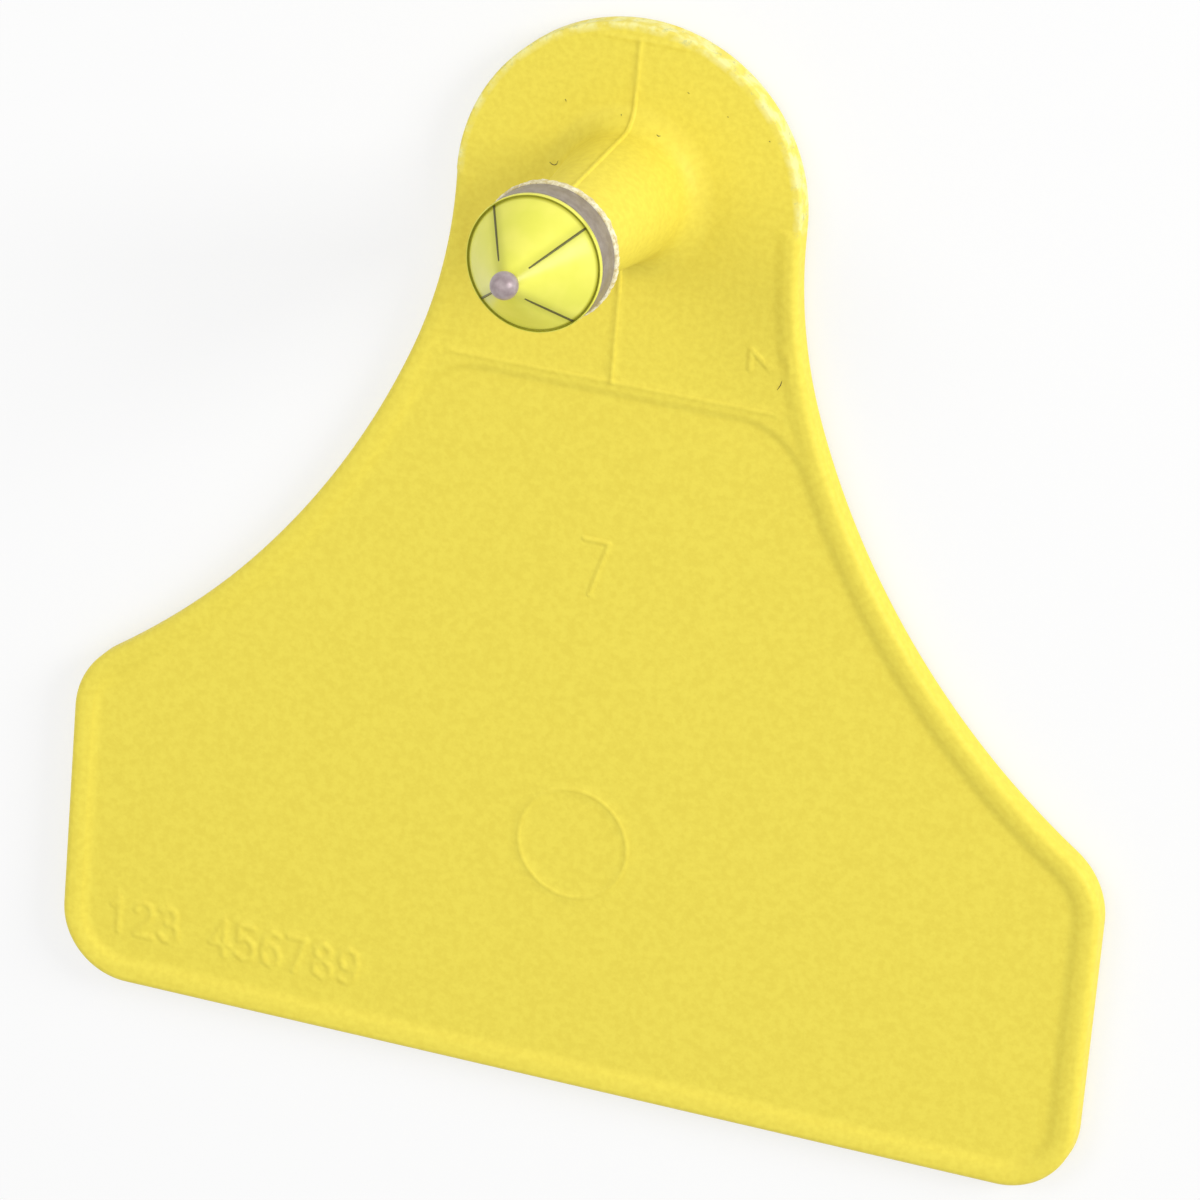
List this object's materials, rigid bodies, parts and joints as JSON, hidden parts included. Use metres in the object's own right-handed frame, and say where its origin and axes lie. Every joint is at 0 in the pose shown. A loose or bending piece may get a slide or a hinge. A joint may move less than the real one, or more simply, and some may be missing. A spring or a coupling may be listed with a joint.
{
  "type": "livestock ear tag male flag",
  "caption": "Large yellow cattle ear tag, male half: flat flag with a raised rim and a round head carrying a hollow stud with a metal point under a clear cone.",
  "frame": {"origin": "on the stud's axis, at the mouth of the applicator's hole in the flat back face", "axes": "+Z along the stud to its tip, +Y from the flag to the round head, +X to the right seen from the stud's side"},
  "size_m": [0.075, 0.0764, 0.0255],
  "materials": {
    "tag_plastic": "fine matt grain, soft moulded polyurethane",
    "point_metal": "dull grey metal with a soft sheen",
    "cone_plastic": "clear greenish yellow, glossy",
    "ring_plastic": "rough cream plastic"
  },
  "bodies": {
    "root": {"tag_body": "tag_plastic", "tip_core": "point_metal", "tip_cover": "cone_plastic", "seal_ring": "ring_plastic"}
  },
  "joints": []
}
